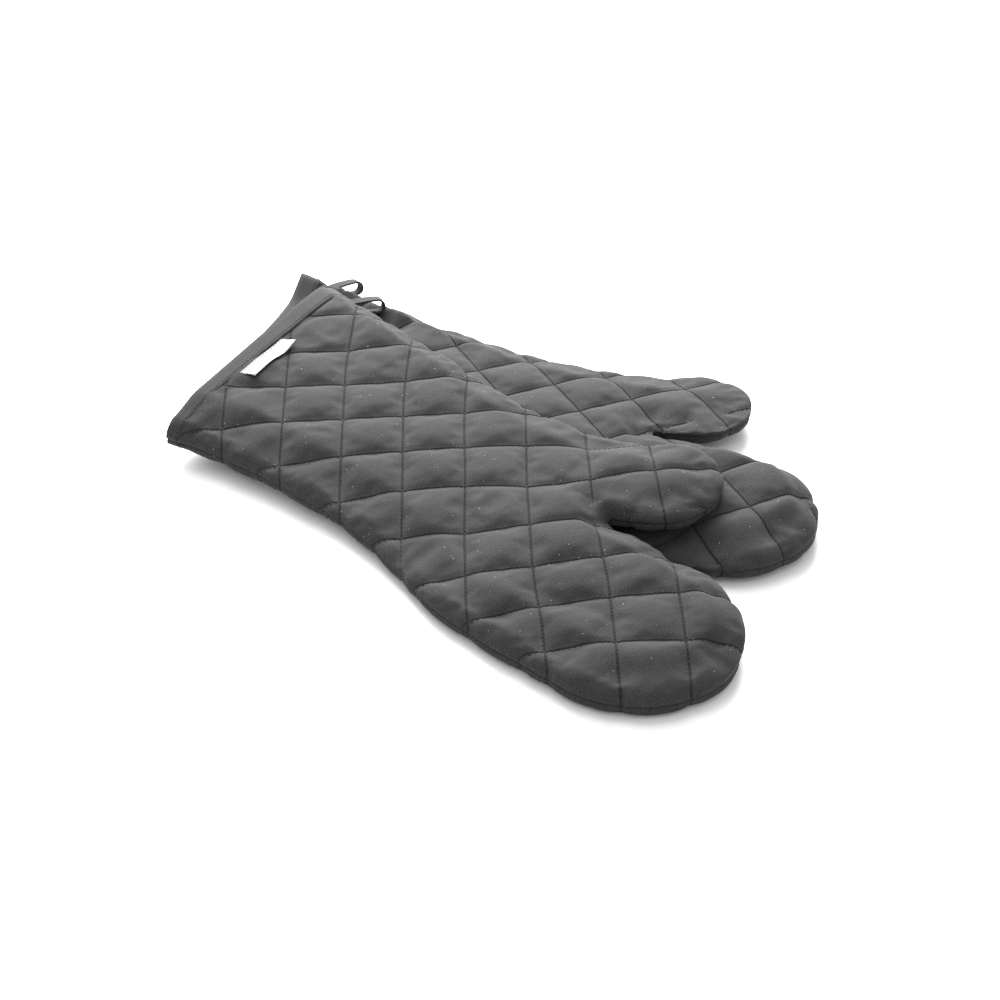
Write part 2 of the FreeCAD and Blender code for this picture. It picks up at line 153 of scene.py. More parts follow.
def nearest_segment(points, starts, spans):
    """Distance of each point from the nearest segment, and which segment it is."""
    best, which = np.zeros(len(points)), np.zeros(len(points), int)
    chunk = 2000
    for i in range(0, len(points), chunk):
        rel = points[i:i + chunk][:, None] - starts
        t = np.clip((rel * spans).sum(2) / ((spans ** 2).sum(1) + 1e-12), 0, 1)
        far = np.linalg.norm(rel - spans * t[..., None], axis=2)
        which[i:i + chunk] = far.argmin(1)
        best[i:i + chunk] = far.min(1)
    return best, which


def to_row(mitt, x, y):
    """Places across the table: from a mitt's frame to the row's, in millimetres."""
    m = MITTS[mitt]
    x, y = np.asarray(x, float), np.asarray(y, float)
    if mitt == "lower":
        far_share = np.clip((y - PULL_ACROSS[0]) / PULL_ACROSS[1], 0, 1)
        x = x + CUFF_PULL * (1 - ease(x, *PULL_ALONG)) * far_share
        x = x + LONG_THUMB * ease(x, *LONG_ALONG) * ease(y, *LONG_ACROSS)
    else:
        y = y + CUFF_SPREAD * (1 - ease(x, *SPREAD_ALONG)) * ease(y, *SPREAD_ACROSS)
    x, y = turned(x, y, m["turn"])
    return ORIGIN.x + m["x"] + x, ORIGIN.y + m["y"] + y


def from_row(mitt, point):
    """Plan place of a point of the row frame, in the mitt's millimetres."""
    m = MITTS[mitt]
    return turned(point[0] / MM - ORIGIN.x - m["x"], point[1] / MM - ORIGIN.y - m["y"], -m["turn"])


def in_row_frame(mitt, points):
    x, y = to_row(mitt, points[:, 0], points[:, 1])
    return np.stack([x, y, points[:, 2]], 1) * MM


# ---- plan of a mitt
def arc(cx, cy, radius, start, end, step=STEP):
    count = max(3, math.ceil(abs(end - start) * radius / step))
    angles = [start + (end - start) * i / count for i in range(count)]
    return [(cx + radius * math.cos(a), cy + radius * math.sin(a)) for a in angles]


def line(x0, y0, x1, y1):
    count = max(1, math.ceil(math.hypot(x1 - x0, y1 - y0) / STEP))
    return [(x0 + (x1 - x0) * i / count, y0 + (y1 - y0) * i / count) for i in range(count)]


def side_curve(x, waist_x):
    """Half width of the flared cuff, from the cuff to the wrist."""
    flare = CUFF_HALF - WAIST_HALF
    radius = (waist_x ** 2 + flare ** 2) / (2 * flare)
    return WAIST_HALF + radius - math.sqrt(radius ** 2 - (waist_x - x) ** 2)


def shoulder_parts():
    """Radius of the thumb's shoulder, and where it leaves the wrist."""
    top_x = THUMB_X - THUMB_ROUND * math.sin(SHOULDER)
    top_y = THUMB_Y + THUMB_ROUND * math.cos(SHOULDER)
    radius = (top_y - WAIST_HALF) / (1 - math.cos(SHOULDER))
    return radius, top_x - radius * math.sin(SHOULDER)


def square_outline():
    """The edge of a mitt with a square cuff, from the near cuff corner round to the far one."""
    run, drop = PALM_NEAR - WAIST_NEAR, HAND_NEAR - WAIST_HALF
    palm = (run ** 2 + drop ** 2) / (4 * drop)
    bend = math.asin(run / 2 / palm)
    shoulder, waist_far = shoulder_parts()
    points = [(x, -side_curve(x, WAIST_NEAR)) for x in np.arange(0, WAIST_NEAR, STEP)]
    points += arc(WAIST_NEAR, -WAIST_HALF - palm, palm, math.pi / 2, math.pi / 2 - bend)
    points += arc(PALM_NEAR, -HAND_NEAR + palm, palm, -math.pi / 2 - bend, -math.pi / 2)
    points += line(PALM_NEAR, -HAND_NEAR, TIP_X, -HAND_NEAR)
    points += arc(TIP_X, -HAND_NEAR + TIP_ROUND, TIP_ROUND, -math.pi / 2, math.pi / 2)
    points += line(TIP_X, HAND_FAR, THUMB_X, HAND_FAR)
    points += arc(THUMB_X, CROTCH_Y, CROTCH_ROUND, -math.pi / 2, -3 * math.pi / 2, CROTCH_ROUND / 2)
    points += arc(THUMB_X, THUMB_Y, THUMB_ROUND, -math.pi / 2, math.pi / 2 + SHOULDER)
    points += arc(waist_far, WAIST_HALF + shoulder, shoulder, -math.pi / 2 + SHOULDER, -math.pi / 2)
    points += [(x, side_curve(x, waist_far)) for x in np.arange(waist_far, 0, -STEP)]
    points += [(0.0, CUFF_HALF)]
    return np.array(points)


def slanted(points):
    """Shears the plan near the cuff, so that a square cuff becomes the slanted one."""
    points = np.array(points, float)
    fade = np.clip(1 - points[:, 0] / SLANT_REACH, 0, 1.3) ** 2
    points[:, 0] -= math.tan(CUFF_SLANT) * points[:, 1] * fade
    return points


SQUARE = square_outline()
forward = np.gradient(SQUARE, axis=0)
OUTWARD = unit(np.stack([forward[:, 1], -forward[:, 0]], 1))
OUTWARD[0], OUTWARD[-1] = (0, -1), (0, 1)
EDGE = slanted(SQUARE)
LENGTH_ALONG = lengths(EDGE)


def ring(inset):
    """The outline moved in by a distance."""
    return slanted(SQUARE - OUTWARD * np.broadcast_to(np.asarray(inset, float), len(SQUARE))[:, None])


def edge_distance(points):
    """Distance of plan points from the edge (not the cuff), and the place of the nearest edge point."""
    distance, which = nearest_segment(points, EDGE[:-1], np.diff(EDGE, axis=0))
    return distance, LENGTH_ALONG[which]


def from_cuff(points):
    """Distance of plan points in from the slanted cuff."""
    return (points[:, 0] + math.tan(CUFF_SLANT) * points[:, 1]) * math.cos(CUFF_SLANT)


def quilt_drift(mitt, points):
    """The lines stray a little towards the fingertips, in pitches across each set of lines."""
    steps = np.stack([ease(points[:, 0], *along) for along in DRIFT_ALONG], 1)
    return steps @ np.array(MITTS[mitt]["drift"]).T


def quilt_axes(mitt):
    """Directions across the two sets of quilting lines, as rows."""
    angles = [MITTS[mitt]["quilt"] + turn for turn in (math.pi / 4, -math.pi / 4)]
    return np.array([(-math.sin(angle), math.cos(angle)) for angle in angles])


def quilt_coordinates(mitt, points):
    """Places across the two sets of quilting lines, in pitches; whole numbers are lines."""
    points = np.asarray(points, float)
    rel = (points - np.array(MITTS[mitt]["cross"])) / PITCH
    return rel @ quilt_axes(mitt).T - quilt_drift(mitt, points)


def quilt_place(mitt, pitches):
    """Plan points of given places across the quilting lines."""
    strayed = pitches
    for _ in range(5):             # the drift depends on the place, so this closes in on it
        points = np.array(MITTS[mitt]["cross"]) + strayed @ quilt_axes(mitt) * PITCH
        strayed = pitches + quilt_drift(mitt, points)
    return points


def stitched_share(mitt, points):
    """1 where each set of quilting lines is sewn; 0 where a line would run along in the edge's seam."""
    distance, where = edge_distance(points)
    along_edge = np.stack([np.interp(where, LENGTH_ALONG, -OUTWARD[:, 1]),
                           np.interp(where, LENGTH_ALONG, OUTWARD[:, 0])], 1)
    parallel = 1 - np.abs(along_edge @ quilt_axes(mitt).T)
    return 1 - ease(parallel, *PARALLEL) * (1 - ease(distance, *SEAM_BAND))[:, None]


def line_distance(mitt, points):
    """Distance of plan points from the nearest sewn quilting line."""
    gaps = quilt_coordinates(mitt, points)
    gaps = np.abs(gaps - np.round(gaps))
    return np.where(stitched_share(mitt, points) > 0.5, gaps, 0.5).min(1) * PITCH


# ---- height of a mitt
def crown(points):
    """How far in from the edge the panel reaches its full height: soon at the cuff's far corner."""
    x, y = points.T
    at_cuff = NEAR_CROWN + (FAR_CROWN - NEAR_CROWN) * ease(y, *CROWN_ACROSS)
    by_thumb = ease(y, *THUMB_CROWN_FROM) * (1 - ease(y, *THUMB_CROWN_TO))
    return at_cuff + (CROWN - THUMB_CROWN * by_thumb - at_cuff) * ease(x, *CROWN_ALONG)


def plump(x, y):
    """How far a place of the lower mitt's frame is within its full, unpressed fingertips."""
    return ease(x, *PLUMP_ALONG) * ease(y, *PLUMP_ACROSS)


def thumb_share(points):
    """1 on a mitt's thumb, 0 on its hand and fingers."""
    return ease(points[:, 0], *THUMB_ALONG) * ease(points[:, 1], *THUMB_ACROSS)


def corner_share(points, y):
    """1 at the upper mitt's near cuff corner, which hangs over the lower one."""
    return (1 - ease(points[:, 0], *CORNER_ALONG)) * np.clip((-PRESS_LINE - y) / CORNER_ACROSS, 0, 1)


def far_cuff_share(points):
    """1 at the far side of the cuff, where the upper mitt lies flat and high."""
    return (1 - ease(points[:, 0], *FAR_CUFF_ALONG)) * ease(points[:, 1], *FAR_CUFF_ACROSS)


def lower_frame(points):
    """Plan points of the upper mitt in the lower one's frame."""
    m = MITTS["upper"]
    x, y = turned(*points.T, m["turn"])
    return m["x"] + x, m["y"] + y


def base_height(mitt, points):
    """Underside of a mitt over the table: thumbs stand a little off it."""
    if mitt == "lower":
        return THUMB_LIFT[mitt] * thumb_share(points) + TIP_LIFT * ease(points[:, 0], *TIP_ALONG)
    x, y = lower_frame(points)
    rest = np.interp(y, [-FLOOR_LINE - 12, -FLOOR_LINE + 8, -PRESS_LINE, 0],
                     [0, 3.0, PRESSED + REST_GAP, DEPTH + REST_GAP])
    thumb = THUMB_LIFT[mitt] * ease(points[:, 0], *THUMB_ALONG) * ease(points[:, 1], *THUMB_LIFT_ACROSS)
    return rest + np.maximum(PLUMP_LIFT * plump(x, y), thumb) + FAR_CUFF_LIFT * far_cuff_share(points)


def depth(mitt, points):
    """Thickness of a mitt: pressed by the upper one, and a little open at its mouth."""
    x, y = points.T
    close = MOUTH_SHARE + (1 - MOUTH_SHARE) * ease(x, *MOUTH_ALONG)
    open_cuff = MOUTH_LIFT * (1 - ease(x, *LIFT_ALONG))
    thumb = THUMB_THIN * thumb_share(points)
    if mitt == "upper":
        fuller = FULLER * ease(x, *FULLER_ALONG) - thumb - FAR_CUFF_THIN * far_cuff_share(points)
        corner = CORNER_LIFT * corner_share(points, lower_frame(points)[1])
        return DEPTH * close + open_cuff + fuller + corner
    ruck = RUCK * (1 - ease(x, *RUCK_ALONG)) * ease(y, *RUCK_ACROSS)
    fingers = PLUMP_DEPTH * plump(x, y) * (1 - thumb_share(points)) - thumb
    pressed = np.interp(y, [-PRESS_LINE, 0], [PRESSED, DEPTH])
    return pressed * close + open_cuff * ease(y, *UNCOVERED_ACROSS) / 2 + ruck + fingers


# a panel's cross-section from the seam: (inset, share of the height) of the rows round the edge
ROWS = {
    "top": [(1.6, 0.0), (0.7, 0.035), (0.1, 0.10), (0.1, 0.19), (0.8, 0.29), (2.0, 0.385), (3.8, 0.47),
            (6.0, 0.545), (8.6, 0.61)],
    "bottom": [(1.6, 0.0), (0.8, 0.14), (0.4, 0.32), (0.7, 0.55), (1.9, 0.78), (3.8, 0.93), (6.2, 1.0)],
}


def surface_height(mitt, side, points, share, puff):
    """Height of the outer surface over the table, from the share of the way up and the puff."""
    base, thick = base_height(mitt, points), depth(mitt, points)
    if mitt == "upper":
        base = base + DEPTH * (1 - MOUTH_SHARE) / 2 * (1 - ease(points[:, 0], *MOUTH_ALONG))
    if side == "top":
        return base + SEAM_RISE + (thick - SEAM_RISE) * share + puff
    return base + SEAM_RISE * (1 - share) - puff


def waves(where, seed, sizes):
    """Smooth uneven ripples along the edge: a few sines of fixed lengths, seeded phases."""
    rng = random.Random(seed)
    out = np.zeros_like(where)
    for length, amount in sizes:
        swell = 0.55 + 0.45 * np.sin(where / (length * 5.1) + rng.uniform(0, 6.28))
        out += amount * swell * np.sin(2 * math.pi * where / length + rng.uniform(0, 6.28))
    return out


def lumps(points, seed):
    """Gentle uneven height over the plan, about -1 to 1."""
    rng = random.Random(seed)
    out = np.zeros(len(points))
    for _ in range(7):
        angle, phase = rng.uniform(0, 6.28), rng.uniform(0, 6.28)
        length = LUMP_SIZE * rng.uniform(0.7, 1.6)
        out += np.sin((points @ np.array([math.cos(angle), math.sin(angle)])) * 6.28 / length + phase)
    return out / 3.2


# ---- a panel's mesh
def inside(points, polygon):
    x, y = points[:, 0], points[:, 1]
    out = np.zeros(len(points), bool)
    for (x0, y0), (x1, y1) in zip(polygon, np.roll(polygon, -1, 0)):
        if y0 != y1:
            out ^= ((y0 > y) != (y1 > y)) & (x < (x1 - x0) * (y - y0) / (y1 - y0) + x0)
    return out


def panel_plan(mitt, side):
    """Flat mesh of one panel: rows round the edge, then a quilting-aligned grid inside.

    Returns plan points, the row each belongs to (or -1), and faces, turned to look outwards.
    """
    rows, count = ROWS[side], len(SQUARE)
    points = np.concatenate([ring(inset) for inset, _ in rows])
    row_of = np.repeat(np.arange(len(rows)), count)
    faces = [(a, a + 1, a + 1 + count, a + count)
             for k in range(len(rows) - 1) for a in range(k * count, (k + 1) * count - 1)]
    inner = points[-count:]
    cuff = slanted(line(0.0, inner[-1][1], 0.0, inner[0][1]))[1:]
    border = np.concatenate([inner, cuff])
    reach = int(420 / STEP)
    i, j = np.meshgrid(np.arange(-reach, reach + 1), np.arange(-reach, reach + 1))
    grid = quilt_place(mitt, np.stack([i.ravel(), j.ravel()], 1) * STEP / PITCH)
    grid = grid[((grid > border.min(0)) & (grid < border.max(0))).all(1)]
    grid = grid[inside(grid, border)]
    grid = grid[nearest_segment(grid, border, np.roll(border, -1, 0) - border)[0] > 0.55 * STEP]
    flat = [Vector(p) for p in np.concatenate([border, grid])]
    edges = [(k, (k + 1) % len(border)) for k in range(len(border))]
    verts, _, tris, _, _, _ = geometry.delaunay_2d_cdt(flat, edges, [], 1, 1e-5)
    offset = len(points) - count
    extra = np.array([tuple(v) for v in verts])[count:]
    points = np.concatenate([points, extra])
    row_of = np.concatenate([row_of, np.full(len(extra), -1)])
    faces += [tuple(offset + v for v in tri) for tri in tris]
    if side == "bottom":
        faces = [tuple(reversed(face)) for face in faces]
    return points, row_of, faces


def new_object(name, verts, faces):
    mesh = bpy.data.meshes.new(name)
    mesh.from_pydata([tuple(v) for v in np.asarray(verts, float)], [], faces)
    mesh.validate()
    mesh.shade_smooth()
    obj = bpy.data.objects.new(name, mesh)
    bpy.context.scene.collection.objects.link(obj)
    return obj


def vertex_values(source, key):
    """One vector for each item of source, such as a mesh's vertices, as an array."""
    out = np.zeros(len(source) * 3)
    source.foreach_get(key, out)
    return out.reshape(-1, 3)


def set_uv(obj, plan, name="UVMap"):
    """Plan places in metres as the texture coordinate, so that a weave follows the cloth."""
    layer = obj.data.uv_layers.new(name=name)
    corners = np.zeros(len(obj.data.loops), int)
    obj.data.loops.foreach_get("vertex_index", corners)
    layer.data.foreach_set("uv", (np.asarray(plan)[corners] * MM).ravel())


def pillow(mitt, points):
    """0 on the quilting's lines, rising to 1 in the middle of each cell."""
    waves_across = np.abs(np.sin(math.pi * quilt_coordinates(mitt, points)))
    share = stitched_share(mitt, points)
    return (1 - share + share * waves_across).prod(1) ** 0.42


def panel_shape(mitt, side, points, row_of):
    """Places of a panel's vertices in metres before the cloth settles, and their distance from a line."""
    rows = ROWS[side]
    last = len(rows) - 1
    seed = MITTS[mitt]["seed"] + (0 if side == "top" else 40)
    distance, where = edge_distance(points)
    line_gap = line_distance(mitt, points)
    last_inset, last_share = rows[-1]
    share = last_share + (1 - last_share) * smooth((distance - last_inset) / crown(points))
    reach = np.ones(len(points))
    for k, (_, value) in enumerate(rows):
        share[row_of == k] = value
        reach[row_of == k] = min(1.0, max(0.0, (k - 0.5) / (last - 2))) ** 0.8
    puff = VALLEY[side] * (pillow(mitt, points) - 1) * reach * (0.75 + 0.25 * smooth(distance / 22.0))
    ripple = waves(where, seed + 1, [(11.3, 0.5), (17.9, 0.35), (7.9, 0.25)])
    puff += 0.5 * ripple * np.where(row_of >= 2, 1, 0) * (1 - np.abs(reach - 0.5))
    if side == "top":
        puff += LUMP * lumps(points, seed) * reach
    under_binding = 1 - ease(from_cuff(points), BINDING - 0.5, 9.0)
    puff += (-BINDING_SINK - puff) * under_binding * reach
    plan = points.copy()
    for k in range(1, last):
        row = row_of == k
        tuck = 2.2 * np.exp(-line_gap[row] / 3.6) + 0.5 * ripple[row]
        strength = math.sin(math.pi * k / last) * (1 - under_binding[row])
        plan[row] = ring(rows[k][0] + np.maximum(tuck, -0.1) * strength)
    height = surface_height(mitt, side, plan, share, puff)
    return in_row_frame(mitt, np.column_stack([plan, height])), line_gap


def settle(obj, pinned):
    """Blows the quilted cloth up between its stitches: the cloth is a little large, so it puckers."""
    rest = vertex_values(obj.data.vertices, "co")
    group = obj.vertex_groups.new(name="stitched")
    group.add(np.nonzero(pinned)[0].tolist(), 1.0, "REPLACE")
    cloth = obj.modifiers.new("Cloth", "CLOTH")
    settings = cloth.settings
    settings.quality = 6
    settings.mass = 0.25
    settings.tension_stiffness = settings.compression_stiffness = 28
    settings.shear_stiffness = 12
    settings.bending_stiffness = 2.5
    settings.tension_damping = settings.compression_damping = settings.shear_damping = 12
    settings.air_damping = 4
    settings.shrink_min = -0.022
    settings.vertex_group_mass = "stitched"
    settings.pin_stiffness = 20
    settings.use_pressure = True
    settings.uniform_pressure_force = SETTLE_PRESSURE
    settings.effector_weights.gravity = 0
    cloth.collision_settings.use_collision = False
    scene = bpy.context.scene
    for number in range(1, 23):
        scene.frame_set(number)
    settled = obj.evaluated_get(bpy.context.evaluated_depsgraph_get())
    shift = vertex_values(settled.to_mesh().vertices, "co") - rest
    settled.to_mesh_clear()
    obj.modifiers.remove(cloth)
    scene.frame_set(1)
    size = np.linalg.norm(shift, axis=1)
    limit = SETTLE_MOST * MM
    shift *= (limit * np.tanh(size / limit) / np.maximum(size, 1e-9))[:, None]
    obj.data.vertices.foreach_set("co", (rest + shift).ravel())
    obj.data.update()


def subdivided(obj):
    """Applies one subdivision."""
    modifier = obj.modifiers.new("Subdivision", "SUBSURF")
    modifier.levels = modifier.render_levels = 1
    graph = bpy.context.evaluated_depsgraph_get()
    mesh = bpy.data.meshes.new_from_object(obj.evaluated_get(graph))
    obj.modifiers.clear()
    old = obj.data
    obj.data = mesh
    bpy.data.meshes.remove(old)
    mesh.name = obj.name
    return obj


def make_panel(mitt, side):
    """A cover: the whole panel's outer cloth, with the texture coordinates of its quilting."""
    points, row_of, faces = panel_plan(mitt, side)
    shape, line_gap = panel_shape(mitt, side, points, row_of)
    obj = new_object(f"{mitt}_{side}_cover", shape, faces)
    work = bmesh.new()
    work.from_mesh(obj.data)
    bmesh.ops.join_triangles(work, faces=work.faces[:], angle_face_threshold=0.9,
                             angle_shape_threshold=0.6)
    work.to_mesh(obj.data)
    work.free()
    obj.data.shade_smooth()
    set_uv(obj, points)
    set_uv(obj, quilt_coordinates(mitt, points) * PITCH, "Quilting")
    set_uv(obj, stitched_share(mitt, points) / MM, "Stitched")
    if side == "top":
        at_cuff = points[:, 0] < -math.tan(CUFF_SLANT) * points[:, 1] + 1.0
        settle(obj, (line_gap < 0.3) | ((row_of >= 0) & (row_of <= 3)) | at_cuff)
    return subdivided(obj)


# ---- pieces split at the fingers, and fastened to bodies
def part_of(obj, name, keep):
    """A copy of obj with only the faces whose middle passes keep; shading stays whole at the cut."""
    mesh = obj.data
    normals = vertex_values(mesh.vertices, "normal")
    whole = mesh.attributes.new("whole_normal", "FLOAT_VECTOR", "POINT")
    whole.data.foreach_set("vector", normals.ravel())
    copy = bpy.data.objects.new(name, mesh.copy())
    copy.data.name = name
    mesh.attributes.remove(mesh.attributes["whole_normal"])
    bpy.context.scene.collection.objects.link(copy)
    work = bmesh.new()
    work.from_mesh(copy.data)
    gone = [face for face in work.faces if not keep(face.calc_center_median())]
    bmesh.ops.delete(work, geom=gone, context="FACES")
    work.to_mesh(copy.data)
    work.free()
    normals = vertex_values(copy.data.attributes["whole_normal"].data, "vector")
    copy.data.normals_split_custom_set_from_vertices([tuple(n) for n in normals])
    copy.data.attributes.remove(copy.data.attributes["whole_normal"])
    return copy


def is_finger(mitt, point):
    x, y = from_row(mitt, point)
    return x > SPLIT_X and y < CROTCH_Y


def bend_with_thumb(obj):
    """Bakes the cloth's placement into its mesh."""
    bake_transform(obj)


def bend_with_fingers(obj):
    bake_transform(obj)


def attach(obj, mitt, kind, stand_for, slot_name):
    """Splits a mitt-wide piece at the fingers on the upper mitt, hides the CAD nodes that the pieces stand
    for and gives them a slot.
    """
    if mitt == "upper":
        hand = part_of(obj, f"upper_hand_{kind}_cloth", lambda p: not is_finger(mitt, p))
        fingers = part_of(obj, f"upper_fingers_{kind}_cloth", lambda p: is_finger(mitt, p))
        bpy.data.objects.remove(obj)
        bend_with_fingers(fingers)
        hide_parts(*[f"upper_fingers_{node}" for node in stand_for])
        made = [hand, fingers]
    else:
        hand = obj
        hand.name = f"lower_hand_{kind}_cloth"
        made = [hand]
    bend_with_thumb(hand)
    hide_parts(*[f"{mitt}_{part}_{node}" for part in ("hand", "thumb") for node in stand_for])
    for piece in made:
        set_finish(piece, slot_name)
    return made


def fasten(obj, body, slot_name, node=None):
    """The piece moves with a body, takes a slot's finish and may replace a CAD node."""
    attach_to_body(obj, body)
    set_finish(obj, slot_name)
    if node:
        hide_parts(node)
    return obj


# ---- stitches
def capsule():
    """A stitch along X, one unit long and one across: rings of six points."""
    rows = [(-0.5, 0.02), (-0.44, 0.3), (-0.25, 0.46), (0.25, 0.46), (0.44, 0.3), (0.5, 0.02)]
    points = [(x, r * math.cos(a), r * math.sin(a)) for x, r in rows
              for a in [math.pi * k / 3 for k in range(6)]]
    faces = [(6 * i + k, 6 * i + (k + 1) % 6, 6 * i + 6 + (k + 1) % 6, 6 * i + 6 + k)
             for i in range(len(rows) - 1) for k in range(6)]
    faces += [tuple(range(5, -1, -1)), tuple(range(6 * len(rows) - 6, 6 * len(rows)))]
    return np.array(points), faces


def stitch_mesh(name, places):
    """places: (middle, direction, normal) of each stitch, in metres and the row frame."""
    shape, shape_faces = capsule()
    verts, faces = [], []
    for middle, direction, normal in places:
        across = unit(np.cross(normal, direction))
        up = np.cross(direction, across)
        axes = np.stack([direction * STITCH * MM, across * THREAD * MM, up * THREAD * MM])
        faces += [tuple(v + len(verts) * len(shape) for v in face) for face in shape_faces]
        verts.append(middle + shape @ axes)
    return new_object(name, np.concatenate(verts), faces)


def stitch_places(total, margin):
    """Places of a row of stitches along a length in metres, from a margin at each end."""
    return np.arange(margin * MM, total - margin * MM, (STITCH + STITCH_GAP) * MM)


def quilting_stitches(mitt, side, cover):
    """Running stitches along every quilting line, laid on the finished cloth."""
    tree = BVHTree.FromObject(cover, bpy.context.evaluated_depsgraph_get())
    m = MITTS[mitt]
    down = Vector((0, 0, -1 if side == "top" else 1))
    start_height = 0.1 if side == "top" else -0.05
    rng = random.Random(m["seed"])
    reach = 460.0
    pitches, steps = [], []
    for line_number in range(-11, 12):
        for k in np.arange(-reach, reach, STITCH + STITCH_GAP):
            along_it = (k + rng.uniform(-0.25, 0.25)) / PITCH
            pitches += [(line_number, along_it), (along_it, line_number)]
            steps += [(0.0, 0.01), (0.01, 0.0)]
    pitches, steps = np.array(pitches), np.array(steps)
    spots = quilt_place(mitt, pitches)
    ahead = quilt_place(mitt, pitches + steps) - spots
    good = inside(spots, np.concatenate([EDGE, EDGE[:1]])) & (edge_distance(spots)[0] > 1.5)
    good &= stitched_share(mitt, spots)[np.arange(len(spots)), (steps[:, 0] > 0).astype(int)] > 0.5
    good &= spots[:, 0] > -math.tan(CUFF_SLANT) * spots[:, 1] + BINDING + 2.0
    places = []
    for (x, y), (step_x, step_y) in zip(spots[good], ahead[good]):
        row_x, row_y = to_row(mitt, x, y)
        hit, normal, _, _ = tree.ray_cast(Vector((row_x * MM, row_y * MM, start_height)), down)
        if hit is None:
            continue
        a = math.atan2(step_y, step_x) + m["turn"]
        direction = np.array([math.cos(a), math.sin(a), 0.0])
        normal = np.array(normal)
        if normal @ np.array(down) > 0:
            normal = -normal
        direction = unit(direction - normal * (direction @ normal))
        places.append((np.array(hit) + normal * 0.08 * MM, direction, normal))
    return stitch_mesh(f"{mitt}_{side}_quilting", places)


def seam_stitches(mitt):
    """Thread of the edge seam, down in the groove where top and bottom meet."""
    outline = ring(1.15)
    total = lengths(outline)
    spots, ahead = [], []
    for d in np.arange(14.0, total[-1] - 14.0, STITCH + STITCH_GAP):
        spots.append(at_length(d, total, outline))
        ahead.append(at_length(d + 1.0, total, outline))
    starts, ends = [
        in_row_frame(mitt, np.column_stack([plan, surface_height(mitt, "top", plan, 0.0, 0.0)]))
        for plan in (np.array(spots), np.array(ahead))]
    up = np.array([0.0, 0.0, 1.0])
    return stitch_mesh(f"{mitt}_seam_stitches", [(a, d, up) for a, d in zip(starts, unit(ends - starts))])


# ---- cuff
def section(mitt, s, out):
    """The mitt's cross-section a distance in from the cuff, moved outwards, as a closed row of points."""
    near, far = side_curve(s, WAIST_NEAR), side_curve(s, shoulder_parts()[1])
    points = []
    for side, rows in ROWS.items():
        last_inset, last_share = rows[-1]
        part = [(-near + inset, share) for inset, share in rows[1:]]
        for y in np.linspace(-near + last_inset + 3, far - last_inset - 3, 56):
            up = smooth((min(y + near, far - y) - last_inset) / crown(np.array([(s, y)])))
            part.append((y, last_share + (1 - last_share) * float(up[0])))
        part += [(far - inset, share) for inset, share in reversed(rows[1:])]
        for y, share in (part if side == "top" else reversed(part)):
            plan = slanted([(s, y)])
            points.append((*plan[0], surface_height(mitt, side, plan, share, 0.0)[0]))
    points = np.array(points)
    flat = points[:, 1:]
    for _ in range(2):
        flat = (np.roll(flat, 1, 0) + 2 * flat + np.roll(flat, -1, 0)) / 4
    turn = np.roll(flat, -1, 0) - np.roll(flat, 1, 0)
    normal = unit(np.stack([-turn[:, 1], turn[:, 0]], 1))
    return np.column_stack([points[:, 0], flat + normal * (out - BINDING_SINK)])


# the folded tape in cross-section: (distance in from the cuff, height over the sunk cloth)
BINDING_SHAPE = [(13.3, -0.4), (13.35, 0.35), (12.9, 0.85), (11.9, 0.98), (9.0, 0.9), (5.5, 1.0),
                 (3.0, 1.0), (1.2, 0.75), (0.2, 0.1), (-0.2, -0.9), (0.1, -1.8), (1.0, -2.5), (2.4, -2.8),
                 (6.0, -2.7), (10.5, -2.8), (12.7, -2.8), (13.1, -2.3)]


def swept(name, rows, closed_across=False):
    """A grid of faces over rows of points; each row is a closed loop."""
    count, total = len(rows[0]), len(rows)
    faces = []
    for j in range(total if closed_across else total - 1):
        a, b = j * count, (j + 1) % total * count
        for i in range(count):
            k = (i + 1) % count
            faces.append((a + i, b + i, b + k, a + k))
    return new_object(name, np.concatenate(rows), faces)


def make_binding(mitt):
    """Tape folded over the raw edge, with its own slight puckers."""
    rows = []
    for s, out in BINDING_SHAPE:
        row = section(mitt, max(s, 0.0) + 0.3, out)
        row[:, 0] += min(s, 0.0)
        seed = MITTS[mitt]["seed"] + int(s)
        pucker = waves(np.arange(len(row)) * 3.0, seed, [(13.0, 0.16), (31.0, 0.2)])
        row[:, 0] += pucker * (1.0 if s > 12 else 0.5)
        rows.append(in_row_frame(mitt, row))
    obj = swept(f"{mitt}_binding_tape", rows, closed_across=True)
    set_uv(obj, [(j * 2.4, i * 3.0) for j in range(len(rows)) for i in range(len(rows[0]))])
    return fasten(subdivided(obj), f"{mitt}_hand", "binding_tape", f"{mitt}_cuff_binding")


def make_binding_stitches(mitt):
    """Stitches beside the binding's inner edge, round the whole cuff."""
    row = in_row_frame(mitt, section(mitt, BINDING - BINDING_STITCH, 1.02))
    closed = np.vstack([row, row[:1]])
    total = lengths(closed)
    middle = row.mean(0)
    places = []
    for d in stitch_places(total[-1], 0.0):
        spot = at_length(d, total, closed)
        ahead = at_length(d + MM, total, closed) - spot
        if np.linalg.norm(ahead) < 1e-7:
            continue
        direction = unit(ahead)
        away = np.array([0, 0, 1.0 if spot[2] > middle[2] else -1.0])
        places.append((spot, direction, unit(away - direction * (away @ direction))))
    obj = stitch_mesh(f"{mitt}_binding_stitches", places)
    return fasten(obj, f"{mitt}_hand", "seam_thread", f"{mitt}_binding_thread")


